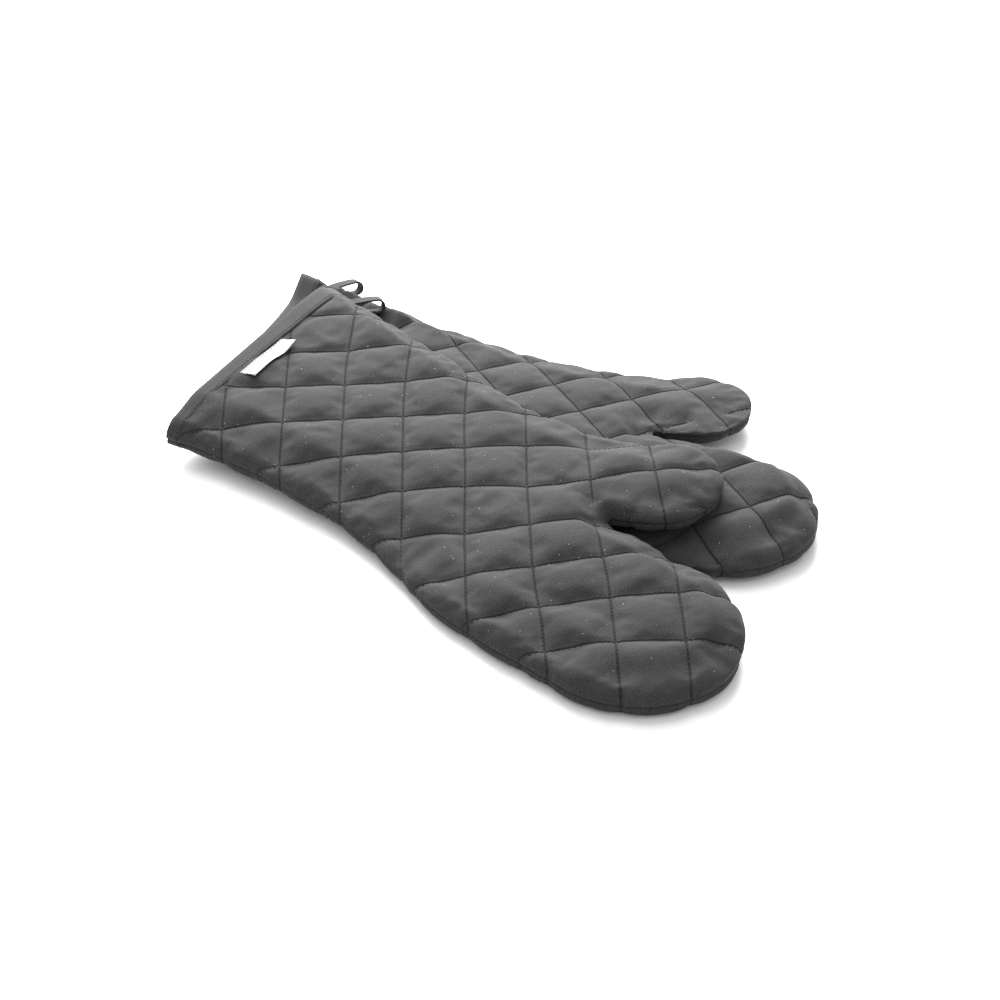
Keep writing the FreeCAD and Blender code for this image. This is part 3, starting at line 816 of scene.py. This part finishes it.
# ---- lining
def lining_height(mitt, side, plan):
    """Inner face of a panel: the cover's height less the panel, which the binding grips thinner."""
    distance, _ = edge_distance(plan)
    insets, shares = zip(*ROWS[side][3:])
    share = np.interp(distance, insets, shares)
    share += (1 - shares[-1]) * smooth((distance - insets[-1]) / crown(plan))
    outer = surface_height(mitt, side, plan, share, 0.0)
    grip = 1 - ease(from_cuff(plan), BINDING - 2.0, 12.0)
    panel = PANEL + LINING + (BINDING_SINK + 2.2 - PANEL - LINING) * grip
    return outer - panel if side == "top" else outer + panel


def make_lining(mitt, side):
    """The cloth inside: the panel's plan, moved in by its thickness."""
    points, row_of, faces = panel_plan(mitt, side)
    last = len(ROWS[side]) - 1
    plan = points.copy()
    round_share = np.ones(len(points))
    for k in range(last + 1):
        angle = k / last * math.pi / 2
        plan[row_of == k] = ring(PANEL + LINING + 5.0 * (1 - math.cos(angle)))
        round_share[row_of == k] = math.sin(angle)
    top, bottom = lining_height(mitt, "top", plan), lining_height(mitt, "bottom", plan)
    half = np.maximum((top - bottom) / 2, 0.3)
    height = (top + bottom) / 2 + (half if side == "top" else -half) * round_share
    shape = in_row_frame(mitt, np.column_stack([plan, height]))
    obj = new_object(f"{mitt}_{side}_lining_sheet", shape, faces)
    set_uv(obj, plan)
    return subdivided(obj)


# ---- loops and label
LOOP = {"place": 9.0, "turn": math.radians(52.0), "roll": math.radians(80.0), "outside": 10.5,
        "tape": 1.5, "high": 9.0, "stitch": 1.3, "start": -9.0, "start_half": 1.1, "raised": 0.4,
        "long": {"lower": 30.0, "upper": 34.0}}

# a quarter of the tape's cross-section, as shares of (its width, its thickness): thicker along its seams
TAPE_QUARTER = [(0.5, 0.2), (0.485, 0.42), (0.44, 0.5), (0.3, 0.46), (0, 0.44)]


def loop_walk(mitt):
    """The teardrop that the tape's middle follows: (distance out, distance aside), in millimetres."""
    start, start_half = LOOP["start"], LOOP["start_half"]
    half = (LOOP["outside"] - LOOP["tape"]) / 2
    bend = LOOP["long"][mitt] - LOOP["tape"] / 2 - half
    leg = [(d, start_half + (half - start_half) * float(ease(d, start, bend - start)))
           for d in np.linspace(start, bend, 15)]
    tip = [(bend + half * math.sin(a), half * math.cos(a)) for a in np.linspace(0, math.pi, 15)[1:-1]]
    return np.array(leg + tip + [(d, -w) for d, w in reversed(leg)])


def make_loop(mitt):
    """Tape doubled into a teardrop that stands on its edge, sewn in by the binding at the far corner."""
    spread = CUFF_SPREAD if mitt == "upper" else 0.0
    root = np.array([-CUFF_HALF * math.tan(CUFF_SLANT) + LOOP["place"], CUFF_HALF - spread])
    ahead = np.array([math.cos(LOOP["turn"]), math.sin(LOOP["turn"])])
    aside = np.array([-ahead[1], ahead[0]])
    box_low, box_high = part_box(f"{mitt}_hanging_loop")
    middle = (box_low.z + box_high.z) / 2 / MM + LOOP["raised"]
    walk = loop_walk(mitt)
    c, s = math.cos(LOOP["roll"]), math.sin(LOOP["roll"])
    plan = root + walk[:, :1] * ahead + walk[:, 1:] * c * aside
    centre = in_row_frame(mitt, np.column_stack([plan, middle + walk[:, 1] * s]))
    forward = unit(np.gradient(centre, axis=0))
    angle = MITTS[mitt]["turn"] + LOOP["turn"]
    up = np.array([s * math.sin(angle), -s * math.cos(angle), c])
    sides = unit(np.cross(forward, up))
    tilt = 0.12 * np.sin(np.linspace(0, 3 * math.pi, len(centre)))[:, None]
    high = unit(up + sides * tilt)
    half_shape = [(a, -b) for a, b in TAPE_QUARTER] + [(-a, -b) for a, b in reversed(TAPE_QUARTER[:-1])]
    shape = half_shape + [(a, -b) for a, b in reversed(half_shape)]
    wide, thick = LOOP["high"] * MM, LOOP["tape"] * MM
    rows = [np.array([place + h * (a * wide) + n * (b * thick) for a, b in shape])
            for place, h, n in zip(centre, high, sides)]
    obj = swept(f"{mitt}_loop_tape", rows)
    run = lengths(centre) / MM
    set_uv(obj, [(r, a * LOOP["high"]) for r in run for a, _ in shape])
    fasten(subdivided(obj), f"{mitt}_loop", "binding_tape", f"{mitt}_hanging_loop")
    stitches = []
    for sign in (1, -1):
        edge = centre + high * (sign * (wide / 2 - LOOP["stitch"] * MM)) + sides * (0.52 * thick)
        total = lengths(edge)
        for d in stitch_places(total[-1], 8.0):
            stitches.append((at_length(d, total, edge), unit(at_length(d, total, forward)),
                             unit(at_length(d, total, sides))))
    thread = stitch_mesh(f"{mitt}_loop_stitches", stitches)
    return obj, fasten(thread, f"{mitt}_loop", "seam_thread")


LABEL = {"wide": 12.0, "long": 47.0, "start": 14.4, "place": -6.8, "thick": 0.45, "rim": 1.2}


def label_surface(cover, across, along_it):
    """The label's top: it bridges the quilting, its free edge stands up and its ends curl."""
    tree = BVHTree.FromObject(cover, bpy.context.evaluated_depsgraph_get())
    tops = []
    for v in along_it:
        for u in across:
            row_x, row_y = to_row("upper", *turned(LABEL["start"] + u, LABEL["place"] + v, CUFF_SLANT))
            hit = tree.ray_cast(Vector((row_x * MM, row_y * MM, 0.1)), Vector((0, 0, -1)))[0]
            tops.append((row_x * MM, row_y * MM, hit.z))
    tops = np.array(tops).reshape(len(along_it), len(across), 3)
    lowest = tops[..., 2]
    heights = lowest.copy()
    for _ in range(60):
        heights[1:-1] = (heights[:-2] + 2 * heights[1:-1] + heights[2:]) / 4
        heights[:, 1:-1] = (heights[:, :-2] + 2 * heights[:, 1:-1] + heights[:, 2:]) / 4
        heights = np.maximum(heights, lowest)
    lift = 0.25 + 1.5 * smooth(across / LABEL["wide"]) ** 1.3
    curl = 1 + 0.75 * ease(along_it, 8, 16) + 0.2 * ease(-along_it, 14, 9)
    tops[..., 2] = heights + lift[None] * curl[:, None] * MM
    return tops


def make_label(cover):
    """A blank woven label, sewn along the binding."""
    across = np.linspace(0, LABEL["wide"], 13)
    along_it = np.linspace(-LABEL["long"] / 2, LABEL["long"] / 2, 48)
    tops = label_surface(cover, across, along_it)
    count, rows = len(across), len(along_it)
    top = tops.reshape(-1, 3)
    under = top - np.array([0, 0, LABEL["thick"] * MM])
    faces = []
    for j in range(rows - 1):
        for k in range(j * count, (j + 1) * count - 1):
            faces.append((k, k + 1, k + count + 1, k + count))
            faces.append(tuple(len(top) + v for v in (k, k + count, k + count + 1, k + 1)))
    number = np.arange(len(top)).reshape(rows, count)
    rim = np.concatenate([number[0], number[1:, -1], number[-1, -2::-1], number[-2:0:-1, 0]]).tolist()
    for a, b in zip(rim, rim[1:] + rim[:1]):
        faces.append((a, len(top) + a, len(top) + b, b))
    obj = new_object("upper_label_tape", np.vstack([top, under]), faces)
    grid = [(u, v) for v in along_it for u in across]
    set_uv(obj, grid + grid)
    bevel = obj.modifiers.new("Bevel", "BEVEL")
    bevel.width, bevel.segments, bevel.limit_method = 0.12 * MM, 2, "ANGLE"
    fasten(obj, "upper_label", "label_tape", "upper_label")
    edge = tops[:, 0] + (tops[:, 1] - tops[:, 0]) * 1.3
    total = lengths(edge)
    places = []
    for d in stitch_places(total[-1], 1.0):
        spot = at_length(d, total, edge)
        ahead = at_length(d + MM, total, edge) - spot
        places.append((spot + np.array([0, 0, 0.05 * MM]), unit(ahead), np.array([0.0, 0.0, 1.0])))
    thread = stitch_mesh("upper_label_stitches", places)
    return obj, fasten(thread, "upper_label", "seam_thread")


# ---- materials
class Nodes:
    """A material's node tree, with short ways to add and join nodes."""

    def __init__(self, name):
        self.material = bpy.data.materials.new(name)
        self.material.use_nodes = True
        self.tree = self.material.node_tree
        self.shader = self.tree.nodes["Principled BSDF"]

    def add(self, kind, inputs=(), **settings):
        node = self.tree.nodes.new(kind)
        for key, value in settings.items():
            setattr(node, key, value)
        for key, value in dict(inputs).items():
            self.put(node.inputs[key], value)
        return node

    def put(self, socket, value):
        if isinstance(value, bpy.types.NodeSocket):
            self.tree.links.new(value, socket)
        else:
            socket.default_value = value

    def finish(self, colour, roughness, specular=0.5, more=()):
        """Joins up the shader's inputs and returns the material."""
        inputs = {"Base Color": colour, "Roughness": roughness, "Specular IOR Level": specular}
        for key, value in {**inputs, **dict(more)}.items():
            self.put(self.shader.inputs[key], value)
        return self.material

    def uv(self, name="UVMap"):
        return self.add("ShaderNodeUVMap", uv_map=name).outputs["UV"]

    def axes(self, vector):
        return self.add("ShaderNodeSeparateXYZ", {"Vector": vector}).outputs

    def math(self, operation, a, b=0.0, c=0.0, clamp=False):
        node = self.add("ShaderNodeMath", operation=operation, use_clamp=clamp)
        for socket, value in zip(node.inputs, (a, b, c)):
            self.put(socket, value)
        return node.outputs[0]

    def varied(self, tone, value, amount, base):
        """A tone multiplied by base plus an amount of a value."""
        return self.math("MULTIPLY", tone, self.math("MULTIPLY_ADD", value, amount, base))

    def mix(self, factor, a, b):
        node = self.add("ShaderNodeMix", data_type="RGBA", blend_type="MIX")
        self.put(node.inputs["Factor"], factor)
        self.put(node.inputs["A"], a)
        self.put(node.inputs["B"], b)
        return node.outputs["Result"]

    def noise(self, vector, scale, detail=3.0, roughness=0.55):
        inputs = {"Vector": vector, "Scale": scale, "Detail": detail, "Roughness": roughness}
        return self.add("ShaderNodeTexNoise", inputs).outputs["Fac"]

    def ramp(self, value, low, high):
        node = self.add("ShaderNodeMapRange", {"Value": value, "From Min": low, "From Max": high},
                        interpolation_type="SMOOTHSTEP")
        return node.outputs["Result"]

    def mapped(self, vector, angle, stretch=(1, 1, 1)):
        inputs = {"Vector": vector, "Rotation": (0, 0, angle), "Scale": stretch}
        return self.add("ShaderNodeMapping", inputs).outputs["Vector"]

    def bands(self, vector, count_per_metre, angle):
        """Soft stripes across the surface, from 0 to 1."""
        x = self.axes(self.mapped(vector, angle))["X"]
        wave = self.math("SINE", self.math("MULTIPLY", x, count_per_metre * 2 * math.pi))
        return self.math("MULTIPLY_ADD", wave, 0.5, 0.5)

    def bump(self, height, distance, strength=1.0, normal=None):
        node = self.add("ShaderNodeBump", {"Height": height, "Distance": distance, "Strength": strength})
        if normal is not None:
            self.put(node.inputs["Normal"], normal)
        return node.outputs["Normal"]


def grey(value):
    return (value, value, value, 1.0)


def lint_specks(n, place, share):
    """1 on small round specks in that share of the cells of a 4 mm grid."""
    cells = n.add("ShaderNodeTexVoronoi", {"Vector": place, "Scale": 240.0, "Randomness": 1.0}).outputs
    chosen = n.add("ShaderNodeSeparateColor", {"Color": cells["Color"]}).outputs
    small = n.math("LESS_THAN", cells["Distance"], n.math("MULTIPLY_ADD", chosen["Green"], 0.06, 0.03))
    return n.math("MULTIPLY", small, n.math("GREATER_THAN", chosen["Red"], 1 - share))


def stitch_groove(n):
    """0 on a sewn quilting line, 1 beside its narrow groove; it shapes the groove's bump and places its
    painted shade.
    """
    across, sewn = n.axes(n.uv("Quilting")), n.axes(n.uv("Stitched"))
    gaps = [n.math("MULTIPLY_ADD", n.math("SUBTRACT", 1.0, sewn[axis]), 0.01,
                   n.math("PINGPONG", across[axis], PITCH * MM / 2)) for axis in ("X", "Y")]
    return n.ramp(n.math("MINIMUM", *gaps), 0.0, 0.0011)


def cotton(name, shade, pitch=0.00125, angle=math.radians(62), lint=1.0, sheen=0.05, quilted=False):
    """Dyed cotton twill: diagonal ribs of light and dark yarn, uneven dye, fuzz and specks of lint.

    Quilted cloth is drawn down into a narrow groove along each line of stitches, with painted shade darkening
    its bottom.
    """
    n = Nodes(name)
    place = n.uv()
    wander = n.add("ShaderNodeTexNoise", {"Vector": place, "Scale": 260.0, "Detail": 2.0})
    shifted = n.add("ShaderNodeVectorMath", operation="MULTIPLY_ADD",
                    inputs={0: wander.outputs["Color"], 1: (0.0006, 0.0006, 0.0), 2: place})
    shifted = shifted.outputs["Vector"]
    ribs = n.bands(shifted, 1 / pitch, angle)
    threads = n.bands(shifted, 1 / (pitch * 0.62), angle + math.radians(75))
    weave = n.math("MULTIPLY_ADD", threads, 0.35, n.math("MULTIPLY", ribs, 0.65))
    cloudy = n.noise(place, 55.0, 4.0, 0.6)
    slub = n.noise(n.mapped(place, angle, (1, 0.12, 1)), 1400.0, 2.0, 0.7)
    fuzz = n.ramp(n.noise(place, 1250.0, 3.0, 0.75), 0.3, 0.7)
    tone = n.math("MULTIPLY_ADD", weave, 0.16, 0.81)
    tone = n.varied(tone, cloudy, 0.5, 0.76)
    tone = n.varied(tone, slub, 0.5, 0.76)
    tone = n.varied(tone, fuzz, 1.0, 0.5)
    colour = n.mix(n.math("MULTIPLY", tone, 0.72, clamp=True), grey(shade * 0.25), grey(shade * 1.9))
    specks = lint_specks(n, place, 0.6 * lint)
    colour = n.mix(n.math("MULTIPLY", specks, 0.5), colour, grey(0.4))
    normal = n.bump(weave, 0.00012, 0.35)
    normal = n.bump(n.math("ADD", slub, n.math("MULTIPLY", cloudy, 1.5)), 0.0003, 0.6, normal)
    if quilted:
        groove = stitch_groove(n)
        # painted shade: the cloth's colour is darkened along the bottom of each quilting groove
        colour = n.mix(n.math("MULTIPLY_ADD", groove, -0.5, 0.5), colour, grey(shade * 0.2))
        creases = n.noise(n.mapped(place, 0.4, (1.0, 0.6, 1.0)), 60.0, 3.0, 0.5)
        normal = n.bump(creases, 0.0015, 0.4, normal)
        normal = n.bump(groove, 0.0009, 1.0, normal)
    return n.finish(colour, 0.86, 0.15, {"Sheen Weight": sheen, "Sheen Roughness": 0.45,
                                         "Sheen Tint": grey(0.8), "Normal": normal})


def thread_material():
    """Twisted sewing thread, a little glossier than the cloth."""
    n = Nodes("seam_thread_finish")
    strands = n.noise(n.add("ShaderNodeTexCoord").outputs["Object"], 2500.0, 2.0, 0.6)
    colour = n.mix(strands, grey(0.006), grey(0.02))
    return n.finish(colour, 0.7, 0.15, {"Normal": n.bump(strands, 0.0001, 0.6)})


def label_material():
    """White damask label: satin ground, fine ribs across, a slightly darker woven edge."""
    n = Nodes("label_tape_finish")
    place = n.uv()
    ribs = n.bands(place, 1 / 0.00042, math.radians(90))
    cross = n.bands(place, 1 / 0.0003, 0.0)
    weave = n.math("MULTIPLY_ADD", cross, 0.4, n.math("MULTIPLY", ribs, 0.6))
    dull = n.noise(place, 90.0, 3.0, 0.6)
    tone = n.math("MULTIPLY_ADD", weave, 0.5, n.math("MULTIPLY", dull, 0.5))
    colour = n.mix(tone, grey(0.13), grey(0.2))
    middle = n.math("ABSOLUTE", n.math("SUBTRACT", n.axes(place)["X"], LABEL["wide"] * MM / 2))
    border = n.math("GREATER_THAN", middle, (LABEL["wide"] / 2 - LABEL["rim"]) * MM)
    colour = n.mix(n.math("MULTIPLY", border, 0.35), colour, grey(0.12))
    return n.finish(colour, 0.45, more={"Sheen Weight": 0.15, "Normal": n.bump(weave, 0.00006, 0.7)})


FINISHES = {
    "twill_cover": cotton("twill_cover_finish", 0.0205, quilted=True),
    "lining": cotton("lining_finish", 0.022, pitch=0.0006, angle=0.0, lint=0.6),
    "binding_tape": cotton("binding_tape_finish", 0.0215, pitch=0.0007, angle=math.radians(35), lint=0.4,
                           sheen=0.07),
    "seam_thread": thread_material(),
    "label_tape": label_material(),
}


def paint(*objs):
    for obj in objs:
        obj.data.materials.clear()
        obj.data.materials.append(FINISHES[obj["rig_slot"]])


# ---- the two mitts
SIDES = ("bottom", "top")
covers = {(mitt, side): make_panel(mitt, side) for mitt in MITTS for side in SIDES}
paint(*make_label(covers["upper", "top"]))
for mitt in MITTS:
    threads = {side: quilting_stitches(mitt, side, covers[mitt, side]) for side in SIDES}
    for side in SIDES:
        nodes = [f"{side}_cover", f"{side}_wadding"]
        for piece in attach(covers[mitt, side], mitt, f"{side}_cover", nodes, "twill_cover"):
            paint(piece)
        paint(*attach(threads[side], mitt, f"{side}_quilting", ["quilting_thread"], "seam_thread"))
        paint(*attach(make_lining(mitt, side), mitt, f"{side}_lining", [f"{side}_lining"], "lining"))
    paint(*attach(seam_stitches(mitt), mitt, "edge_seam", ["edge_seam"], "seam_thread"))
    paint(make_binding(mitt), make_binding_stitches(mitt), *make_loop(mitt))


# ---- floor, light and camera, in metres
def place_object(name, data, place, direction):
    """Puts a light or a camera at a place, looking in a direction."""
    obj = bpy.data.objects.new(name, data)
    bpy.context.scene.collection.objects.link(obj)
    obj.location = place
    obj.rotation_mode = "QUATERNION"
    obj.rotation_quaternion = direction.to_track_quat("-Z", "Y")
    return obj


def area_light(name, place, aim, size, power):
    data = bpy.data.lights.new(name, "AREA")
    data.shape, data.size, data.size_y = "RECTANGLE", size[0], size[1]
    data.energy = power
    place_object(name, data, place, Vector(aim) - Vector(place))


def make_floor():
    """A wide pale floor just under the mitts."""
    floor = new_object("floor", [(-30, -30, 0), (30, -30, 0), (30, 30, 0), (-30, 30, 0)], [(0, 1, 2, 3)])
    floor.location.z = -0.0003
    n = Nodes("floor_finish")
    mottle = n.noise(n.add("ShaderNodeTexCoord").outputs["Object"], 30.0)
    floor.data.materials.append(n.finish(n.mix(mottle, grey(0.87), grey(0.89)), 0.7, 0.15))


def make_world():
    world = bpy.data.worlds.new("studio")
    bpy.context.scene.world = world
    world.use_nodes = True
    background = world.node_tree.nodes["Background"].inputs
    background["Color"].default_value = grey(1.0)
    background["Strength"].default_value = 1.05


def make_camera():
    """Looks down at the pair from the photograph's side."""
    data = bpy.data.cameras.new("camera")
    data.lens, data.sensor_width = 72.0, 36.0
    data.clip_start = 0.05
    aim = Vector((0.0302, -0.0197, 0.0))
    azimuth, elevation, away = math.radians(29.5), math.radians(32.65), 1.2347
    back = Vector((math.sin(azimuth) * math.cos(elevation), -math.cos(azimuth) * math.cos(elevation),
                   math.sin(elevation)))
    bpy.context.scene.camera = place_object("camera", data, aim + back * away, -back)


make_floor()
make_camera()
make_world()
area_light("back_light", (-0.8, 1.15, 0.9), (-0.05, 0, 0), (1.5, 0.9), 115.0)
area_light("top_light", (-0.45, 0.45, 1.7), (0, 0, 0), (1.0, 1.0), 14.0)
bpy.context.scene.view_settings.view_transform = "Standard"
